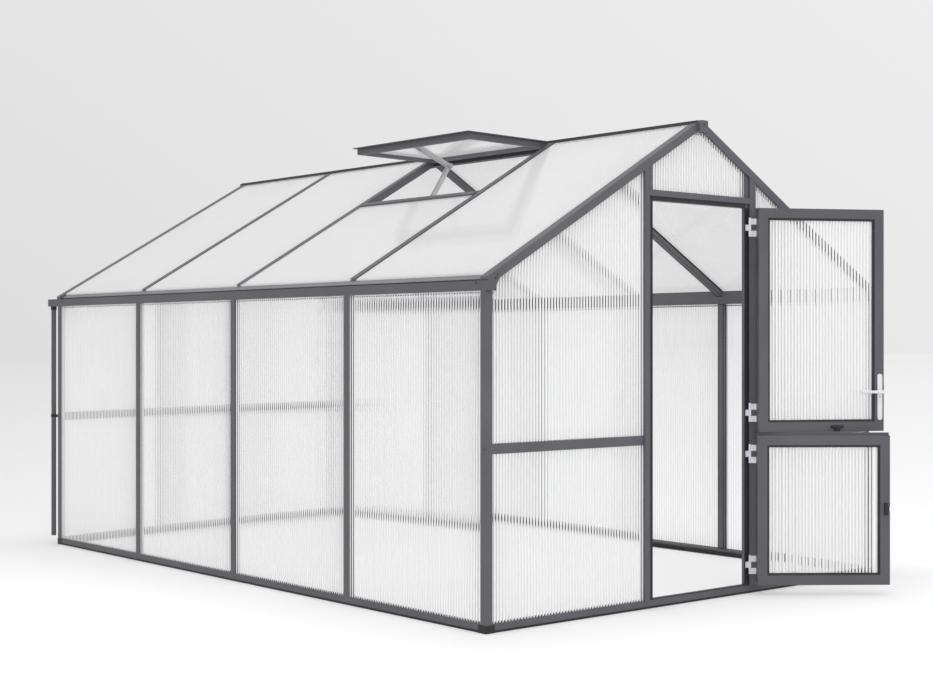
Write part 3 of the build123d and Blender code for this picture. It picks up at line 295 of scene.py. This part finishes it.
for name, obj in nodes.items():
    paint(obj, ownFinish.get(name, slotFinish[slotOf[name]]))
for name in glazed:
    passLight(nodes[name])
print("materials:", len(finishes), "finishes on", len(nodes), "nodes")


def addObject(bm, name, material):
    mesh = bpy.data.meshes.new(name)
    bm.to_mesh(mesh)
    bm.free()
    mesh.materials.append(material)
    obj = bpy.data.objects.new(name, mesh)
    scene.collection.objects.link(obj)
    return obj


def finishPiece(bm, name, body, finish):
    bmesh.ops.recalc_face_normals(bm, faces=bm.faces)
    obj = addObject(bm, name, finishes[finish])
    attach(obj, body)
    return obj


tolerance = {"weld": 0.00001, "flat": 0.01, "upright": 0.000001, "facing": 0.99, "digits": 4}


def nodeMesh(name):
    # a CAD node's mesh with whole flat faces
    bm = bmesh.new()
    bm.from_mesh(nodes[name].data)
    bmesh.ops.remove_doubles(bm, verts=bm.verts, dist=tolerance["weld"])
    bmesh.ops.dissolve_limit(bm, angle_limit=tolerance["flat"], verts=bm.verts, edges=bm.edges)
    return bm


def faceGroups(bm):
    # the faces of each separate solid
    waiting = set(bm.faces)
    groups = []
    while waiting:
        stack = [waiting.pop()]
        group = []
        while stack:
            face = stack.pop()
            group.append(face)
            for edge in face.edges:
                for other in edge.link_faces:
                    if other in waiting:
                        waiting.discard(other)
                        stack.append(other)
        groups.append(group)
    return groups


def nodeIslands(name):
    # the separate solids of a CAD node, each as its edges and its broad face's normal
    bm = nodeMesh(name)
    islands = []
    for group in faceGroups(bm):
        broad = max(group, key=lambda f: f.calc_area())
        edges = {edge for face in group for edge in face.edges}
        ends = [(edge.verts[0].co.copy(), edge.verts[1].co.copy()) for edge in edges]
        islands.append((ends, broad.normal.copy()))
    bm.free()
    return islands


def spanAt(lines, u):
    # lowest and highest v where the outline crosses u
    hits = []
    for (u0, v0), (u1, v1) in lines:
        if min(u0, u1) <= u <= max(u0, u1) and abs(u1 - u0) > tolerance["upright"]:
            hits.append(v0 + (v1 - v0) * (u - u0) / (u1 - u0))
    return min(hits), max(hits)


# skin is what stays clear of ribs under each face of a sheet
ribs = {
    "skin": 0.0004,
    "wall": {"pitch": 0.017, "thick": 0.0022, "finish": "rib"},
    "roof": {"pitch": 0.017, "thick": 0.0155, "finish": "roofRib"},
    "gable": {"pitch": 0.017, "thick": 0.0048, "finish": "rib"},
    "door": {"pitch": 0.0155, "thick": 0.0078, "finish": "rib"},
}


def addRibs(bm, edges, normal, pitch, thick):
    # upright ribs through one sheet, in the middle of each pitch
    across = normal.cross(Vector((0, 0, 1))).normalized()
    along = across.cross(normal).normalized()
    points = [p for edge in edges for p in edge]
    depths = [p.dot(normal) for p in points]
    low, high = min(depths), max(depths)
    lines = [((a.dot(across), a.dot(along)), (b.dot(across), b.dot(along))) for a, b in edges]
    uLow = min(p.dot(across) for p in points)
    uHigh = max(p.dot(across) for p in points)
    first = math.ceil((uLow + thick / 2) / pitch - 0.5)
    last = math.floor((uHigh - thick / 2) / pitch - 0.5)
    for i in range(first, last + 1):
        u = (i + 0.5) * pitch
        v0, v1 = spanAt(lines, u)
        place = across * u + along * (v0 + v1) / 2 + normal * (low + high) / 2
        sizes = (across * thick, along * (v1 - v0), normal * (high - low - 2 * ribs["skin"]))
        matrix = Matrix([(*axis, 0) for axis in sizes] + [(*place, 1)]).transposed()
        bmesh.ops.create_cube(bm, size=1, matrix=matrix)
    return last + 1 - first


def ribKind(name):
    for kind in ("door", "gable", "wall"):
        if kind in name:
            return ribs[kind]
    return ribs["roof"]


for name in ("upper_door_panel", "lower_door_panel"):
    normal = nodeIslands(name)[0][1]
    finishes[name] = clearSheet(name + "Sheet", math.atan2(-normal.x, normal.y), ribs["door"]["pitch"])
    paint(nodes[name], name)
ribTotal = 0
for name in glazed:
    kind = ribKind(name)
    bm = bmesh.new()
    for edges, normal in nodeIslands(name):
        ribTotal += addRibs(bm, edges, normal, kind["pitch"], kind["thick"])
    passLight(finishPiece(bm, name + "_ribs", bodyOf[name], kind["finish"]))
print("sheets:", ribTotal, "ribs")


def addBar(bm, low, high, rounding=0.0006):
    # box between two corners, with its edges rounded
    sizes = [b - a for a, b in zip(low, high)]
    middle = Vector([(a + b) / 2 for a, b in zip(low, high)])
    matrix = Matrix.Translation(middle) @ Matrix.Diagonal((*sizes, 1))
    verts = bmesh.ops.create_cube(bm, size=1, matrix=matrix)["verts"]
    edges = {edge for vert in verts for edge in vert.link_edges}
    bmesh.ops.bevel(bm, geom=list(edges), offset=rounding, offset_type="OFFSET", affect="EDGES",
                    segments=2, profile=0.5, material=-1)


roof = {"pitch": 30.0}
slopeIn = math.sin(math.radians(roof["pitch"]))
slopeUp = math.cos(math.radians(roof["pitch"]))
inward = {
    "left_wall": (1, 0, 0), "right_wall": (-1, 0, 0), "front_gable": (0, 1, 0), "rear_gable": (0, -1, 0),
    "left_roof": (slopeIn, 0, -slopeUp), "right_roof": (-slopeIn, 0, -slopeUp),
}


def innerFaces(bm, way):
    # the face of each solid that looks straight into the room
    chosen = []
    for group in faceGroups(bm):
        facing = [face for face in group if face.normal.dot(way) > tolerance["facing"]]
        depths = {face: round(face.calc_center_median().dot(way), tolerance["digits"]) for face in facing}
        chosen.append(max(facing, key=lambda f: (depths[f], f.calc_area())))
    return chosen


def addLine(name, suffix, way, width, thick, grip=0.0):
    # dark strip inside the outline of each inner face: a rubber gasket round the sheets, painted shade along
    # the bars
    bm = nodeMesh(name)
    kept = innerFaces(bm, way)
    bmesh.ops.delete(bm, geom=[f for f in bm.faces if f not in kept], context="FACES")
    if grip > 0:
        margin = bmesh.ops.inset_individual(bm, faces=bm.faces, thickness=grip)["faces"]
        bmesh.ops.delete(bm, geom=margin, context="FACES")
    middles = bm.faces[:]
    bmesh.ops.inset_individual(bm, faces=middles, thickness=width)
    bmesh.ops.delete(bm, geom=middles, context="FACES")
    raised = bmesh.ops.extrude_face_region(bm, geom=bm.faces[:], use_keep_orig=True)["geom"]
    verts = [item for item in raised if isinstance(item, bmesh.types.BMVert)]
    bmesh.ops.translate(bm, verts=verts, vec=way * thick)
    finishPiece(bm, name + suffix, bodyOf[name], "rubber")


gasket = {"grip": 0.0084, "width": 0.006, "thick": 0.004, "lineWidth": 0.008, "lineThick": 0.0008}
for side, way in inward.items():
    addLine(side + "_panels", "_gasket", Vector(way), gasket["width"], gasket["thick"], gasket["grip"])
# the dark lines along the bars' inner faces are painted shade of their channels and edges
bars = {
    "left_wall_studs": "left_wall", "right_wall_studs": "right_wall", "rear_gable_studs": "rear_gable",
    "left_rafters": "left_roof", "right_rafters": "right_roof",
}
for name, side in bars.items():
    addLine(name, "_lines", Vector(inward[side]), gasket["lineWidth"], gasket["lineThick"])

# dark strip in the base rails' bottom recess, painted shade
recess_shade = {"x": 1.28, "y": 1.885, "low": 0.0005, "high": 0.0095, "front": 0.0008, "back": 0.0029, "cap": 0.046}
bm = bmesh.new()
for side in (-1, 1):
    sides = sorted((side * (recess_shade["y"] - recess_shade["front"]), side * (recess_shade["y"] - recess_shade["back"])))
    reach = recess_shade["x"] - recess_shade["cap"]
    addBar(bm, (-reach, sides[0], recess_shade["low"]), (reach, sides[1], recess_shade["high"]))
    sides = sorted((side * (recess_shade["x"] - recess_shade["front"]), side * (recess_shade["x"] - recess_shade["back"])))
    reach = recess_shade["y"] - recess_shade["cap"]
    addBar(bm, (sides[0], -reach, recess_shade["low"]), (sides[1], reach, recess_shade["high"]))
finishPiece(bm, "base_skirt", "frame", "rubber")

seals = {
    "front": -1.888, "back": -1.885, "sill": 0.038, "head": 1.791, "lintelTop": 1.808,
    "lockSide": (-0.321, -0.311), "hingeSide": (0.311, 0.3155), "sillTop": 0.0425, "sillDepth": 0.010,
    "channel": (0.3165, 0.3405), "channelFront": -1.8874,
    "hinges": (0.134, 0.649, 0.840, 1.700), "clear": 0.016,
}
bm = bmesh.new()
for x0, x1 in (seals["lockSide"], seals["hingeSide"]):
    addBar(bm, (x0, seals["front"], seals["sill"]), (x1, seals["back"], seals["lintelTop"]))
addBar(bm, (seals["lockSide"][1], seals["front"], seals["head"]),
       (seals["hingeSide"][0], seals["back"], seals["lintelTop"]))
addBar(bm, (seals["lockSide"][1], seals["back"], seals["sill"]),
       (seals["hingeSide"][0], seals["back"] + seals["sillDepth"], seals["sillTop"]))
ends = [seals["sill"]]
for z in seals["hinges"]:
    ends += [z - seals["clear"], z + seals["clear"]]
ends.append(seals["head"])
# dark strips in the hinge jamb's channel between the hinges, painted shade; the bars above are door seals
for z0, z1 in zip(ends[::2], ends[1::2]):
    addBar(bm, (seals["channel"][0], seals["channelFront"], z0), (seals["channel"][1], seals["back"], z1))
finishPiece(bm, "door_seals", "frame", "rubber")

# the flange is made too tall and cut off below the rake
flange = {"x": (0.366, 0.384), "y": (-1.893, -1.885), "foot": 0.038, "top": 2.0, "rakeAtMiddle": 2.1294}
bm = bmesh.new()
addBar(bm, (flange["x"][0], flange["y"][0], flange["foot"]), (flange["x"][1], flange["y"][1], flange["top"]))
cut = bmesh.ops.bisect_plane(bm, geom=bm.verts[:] + bm.edges[:] + bm.faces[:], clear_outer=True,
                             plane_co=(0, 0, flange["rakeAtMiddle"]), plane_no=(slopeIn, 0, slopeUp))
rim = [item for item in cut["geom_cut"] if isinstance(item, bmesh.types.BMEdge)]
bmesh.ops.contextual_create(bm, geom=rim)
finishPiece(bm, "hinge_jamb_flange", "frame", "grey")

# dark strip beside the hinge jamb's flange, painted shade
hingeShadeStrip = {"low": (0.384, -1.890, 0.046), "high": (0.399, -1.8855, 1.795), "rounding": 0.0015}
bm = bmesh.new()
addBar(bm, hingeShadeStrip["low"], hingeShadeStrip["high"], hingeShadeStrip["rounding"])
finishPiece(bm, "hinge_draught_strip", "frame", "rubber")

endPlates = {
    "rails": (-0.520, -0.054), "face": 0.030, "drop": (-0.019, 0.011), "plate": 0.0015, "rounding": 0.0004,
    "panelGrip": 0.022,
}
ventJoint = joints["vent_hinge"]
ventHinge = Vector((ventJoint["pos_m"][0], 0, ventJoint["pos_m"][2]))
ventTurn = math.radians(-ventJoint["range_deg"][0] - roof["pitch"])
panelY = [(nodes["vent_panel"].matrix_world @ v.co).y for v in nodes["vent_panel"].data.vertices]
bm = bmesh.new()
for start in endPlates["rails"]:
    for edge, way in ((min(panelY), -1), (max(panelY), 1)):
        end = edge + way * endPlates["panelGrip"]
        y0, y1 = sorted((end, end + way * endPlates["plate"]))
        low = (start, y0, endPlates["drop"][0])
        high = (start + endPlates["face"], y1, endPlates["drop"][1])
        addBar(bm, low, high, endPlates["rounding"])
bmesh.ops.rotate(bm, verts=bm.verts, matrix=Matrix.Rotation(ventTurn, 3, "Y"))
bmesh.ops.translate(bm, verts=bm.verts, vec=ventHinge)
finishPiece(bm, "vent_end_plates", "vent", "grey")

# taper and socket are shares of the radius
screws = {"radius": 0.0036, "height": 0.0011, "recess": 0.0007, "segments": 16, "taper": 0.8, "socket": 0.35}


def addScrew(bm, place, outward):
    # tapered head with a round socket
    outward = Vector(outward)
    facing = outward.to_track_quat("Z", "Y").to_matrix().to_4x4()
    matrix = Matrix.Translation(Vector(place) + outward * screws["height"] / 2) @ facing
    head = bmesh.ops.create_cone(bm, cap_ends=True, segments=screws["segments"], radius1=screws["radius"],
                                 radius2=screws["radius"] * screws["taper"], depth=screws["height"],
                                 matrix=matrix)
    faces = {face for vert in head["verts"] for face in vert.link_faces}
    bm.normal_update()
    top = max(faces, key=lambda f: f.normal.dot(outward))
    bmesh.ops.inset_region(bm, faces=[top], thickness=screws["radius"] * screws["socket"])
    bmesh.ops.translate(bm, verts=top.verts, vec=outward * -screws["recess"])


def doorTurn(leaf):
    # from the shut place to the place at rest
    joint = joints[leaf + "_door_hinge"]
    hinge = Vector(joint["pos_m"])
    turn = Matrix.Rotation(-math.radians(joint["range_deg"][0]), 4, "Z")
    return Matrix.Translation(hinge) @ turn @ Matrix.Translation(-hinge)


fittings = {
    "leafPlateY": -1.888, "leafPlate": ((0.279, -0.030), (0.279, 0.030), (0.296, 0.0)),
    "upperHinges": (0.840, 1.700), "lowerHinges": (0.134, 0.649), "jambPlateX": 0.3215,
    "handleX": -0.2865, "handleZ": (0.823, 1.002), "handleFaces": ((-1.891, -1), (-1.845, 1)),
    "strikeX": -0.3105, "strikeY": -1.868, "strikes": (0.956, 0.397), "strikeReach": 0.036,
}
bm = bmesh.new()
for z in fittings["upperHinges"] + fittings["lowerHinges"]:
    addScrew(bm, (fittings["jambPlateX"], fittings["leafPlateY"], z), (0, -1, 0))
for z in fittings["strikes"]:
    for way in (-1, 1):
        place = (fittings["strikeX"], fittings["strikeY"], z + way * fittings["strikeReach"])
        addScrew(bm, place, (1, 0, 0))
finishPiece(bm, "door_frame_screws", "frame", "silver")
for leaf in ("upper", "lower"):
    bm = bmesh.new()
    for z in fittings[leaf + "Hinges"]:
        for x, rise in fittings["leafPlate"]:
            addScrew(bm, (x, fittings["leafPlateY"], z + rise), (0, -1, 0))
    if leaf == "upper":
        for face, way in fittings["handleFaces"]:
            for z in fittings["handleZ"]:
                addScrew(bm, (fittings["handleX"], face, z), (0, way, 0))
    bmesh.ops.transform(bm, matrix=doorTurn(leaf), verts=bm.verts)
    finishPiece(bm, leaf + "_door_screws", leaf + "_door", "silver")

plugs = {
    "x": (0.2731, 0.3053), "y": (-1.8828, -1.8532), "length": 0.008, "recess": 0.0004, "rounding": 0.0010,
    "upper": (0.752, 1.788), "lower": (0.046, 0.737),
}
for leaf in ("upper", "lower"):
    bm = bmesh.new()
    foot, head = plugs[leaf]
    for way in (-1, 1):
        x0, x1 = sorted(way * x for x in plugs["x"])
        for z in (foot + plugs["recess"], head - plugs["recess"] - plugs["length"]):
            addBar(bm, (x0, plugs["y"][0], z), (x1, plugs["y"][1], z + plugs["length"]), plugs["rounding"])
    bmesh.ops.transform(bm, matrix=doorTurn(leaf), verts=bm.verts)
    finishPiece(bm, leaf + "_door_plugs", leaf + "_door", "black")
print("trim: gaskets, seals, flange, end plates, screws and plugs")

# glow is a list of distances from the middle and tones
stage = {
    "floorRadius": 150.0, "floorSides": 96, "ownTone": 0.75, "rough": 0.9, "middle": (-5.5, -6.7, 0.0),
    "glow": ((7.2, 0.31), (8.6, 0.245), (9.5, 0.205), (10.5, 0.185), (12.0, 0.172),
             (19.0, 0.17), (24.0, 0.163), (32.0, 0.146), (50.0, 0.130), (105.0, 0.100)),
    "brightest": 0.26, "sideways": 0.2, "rightward": (0.7615, -0.648, 0.0),
    "footprint": (1.28, 1.885, 0.0), "shadeReach": 0.75, "shadeLow": 0.61,
}


def floorMaterial():
    # pale floor that glows like the backdrop, with a soft shade round the house
    mat, tree, shader = startMaterial("paleFloor")
    place = objectCoords(tree)
    place.node.inputs["Location"].default_value = [-c for c in stage["middle"]]
    reach = vectorStep(tree, "LENGTH", place)
    far = stage["glow"][-1][0]
    ramp = tree.nodes.new("ShaderNodeValToRGB")
    tree.links.new(blendValue(tree, reach, 0.0, 1.0, 0.0, far), ramp.inputs["Fac"])
    elements = ramp.color_ramp.elements
    elements.remove(elements[1])
    for i, (distance, tone) in enumerate(stage["glow"]):
        element = elements[0] if i == 0 else elements.new(distance / far)
        element.position = distance / far
        element.color = (tone, tone, tone, 1)
    shader.inputs["Base Color"].default_value = (stage["ownTone"],) * 3 + (1,)
    shader.inputs["Roughness"].default_value = stage["rough"]
    shader.inputs["Specular IOR Level"].default_value = 0.0
    slant = [stage["sideways"] * c for c in stage["rightward"]]
    lean = vectorStep(tree, "DOT_PRODUCT", vectorStep(tree, "NORMALIZE", place), slant)
    most = stage["brightest"]
    glow = blendValue(tree, mathStep(tree, "ADD", ramp.outputs["Color"], lean), 0.0, most, 0.0, most)
    past = vectorStep(tree, "SUBTRACT", vectorStep(tree, "ABSOLUTE", objectCoords(tree)), stage["footprint"])
    outside = vectorStep(tree, "LENGTH", vectorStep(tree, "MAXIMUM", past))
    shade = blendValue(tree, outside, stage["shadeLow"], 1.0, 0.0, stage["shadeReach"])
    shade.node.interpolation_type = "SMOOTHSTEP"
    path = tree.nodes.new("ShaderNodeLightPath")
    seen = mathStep(tree, "MAXIMUM", path.outputs["Is Camera Ray"], path.outputs["Is Transmission Ray"])
    tree.links.new(glow, shader.inputs["Emission Color"])
    tree.links.new(mathStep(tree, "MULTIPLY", seen, shade), shader.inputs["Emission Strength"])
    return mat


bm = bmesh.new()
bmesh.ops.create_circle(bm, cap_ends=True, segments=stage["floorSides"], radius=stage["floorRadius"])
floor = addObject(bm, "floor", floorMaterial())
floor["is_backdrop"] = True

# the sky that is seen is brighter upward and to the right, the one that lights is even
sky = {"light": 0.92, "shown": (0.995, 0.995, 1.0), "middle": 0.778, "rise": 0.20, "sideways": 0.14}
world = bpy.data.worlds.new("studio")
world.use_nodes = True
scene.world = world
tree = world.node_tree
tree.nodes.clear()
output = tree.nodes.new("ShaderNodeOutputWorld")
lightSide = tree.nodes.new("ShaderNodeBackground")
lightSide.inputs["Color"].default_value = (1, 1, 1, 1)
lightSide.inputs["Strength"].default_value = sky["light"]
shownSide = tree.nodes.new("ShaderNodeBackground")
shownSide.inputs["Color"].default_value = (*sky["shown"], 1)
coords = tree.nodes.new("ShaderNodeTexCoord")
slant = [sky["sideways"] * c for c in stage["rightward"][:2]] + [sky["rise"]]
lean = vectorStep(tree, "DOT_PRODUCT", coords.outputs["Generated"], slant)
level = tree.nodes.new("ShaderNodeMath")
level.operation = "ADD"
level.use_clamp = True
level.inputs[1].default_value = sky["middle"]
tree.links.new(lean, level.inputs[0])
tree.links.new(level.outputs["Value"], shownSide.inputs["Strength"])
path = tree.nodes.new("ShaderNodeLightPath")
cameraOrGloss = mathStep(tree, "MAXIMUM", path.outputs["Is Camera Ray"], path.outputs["Is Glossy Ray"])
seen = mathStep(tree, "MAXIMUM", cameraOrGloss, path.outputs["Is Transmission Ray"])
share = mixInto(tree, lightSide.outputs["Background"], shownSide.outputs["Background"], output)
tree.links.new(seen, share)

softBoxes = {
    "overhead": {"size": 9.0, "power": 110.0, "place": (-1.0, -1.5, 7.0), "aim": (0, 0, 0)},
    "doorSide": {"size": 6.0, "power": 102.0, "place": (-5.5, -8.5, 4.0), "aim": (0, 0, 1.0)},
}
for name, box in softBoxes.items():
    lamp = bpy.data.lights.new(name, "AREA")
    lamp.size = box["size"]
    lamp.energy = box["power"]
    obj = bpy.data.objects.new(name, lamp)
    obj.location = box["place"]
    aim = Vector(box["aim"]) - Vector(box["place"])
    obj.rotation_euler = aim.to_track_quat("-Z", "Y").to_euler()
    scene.collection.objects.link(obj)

# shift is in pixels of the photo over its width
view = {
    "place": (-5.487, -6.7086, 1.1692), "upright": 90.0, "heading": 40.399, "sensor": 36.0, "lens": 61.78,
    "shift": -8.1 / 933, "farthest": 200.0,
}
cameraData = bpy.data.cameras.new("camera")
cameraData.sensor_fit = "HORIZONTAL"
cameraData.sensor_width = view["sensor"]
cameraData.lens = view["lens"]
cameraData.shift_y = view["shift"]
cameraData.clip_end = view["farthest"]
camera = bpy.data.objects.new("camera", cameraData)
camera.location = view["place"]
camera.rotation_euler = (math.radians(view["upright"]), 0, math.radians(-view["heading"]))
scene.collection.objects.link(camera)
scene.camera = camera
print("camera and light set")

low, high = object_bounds()
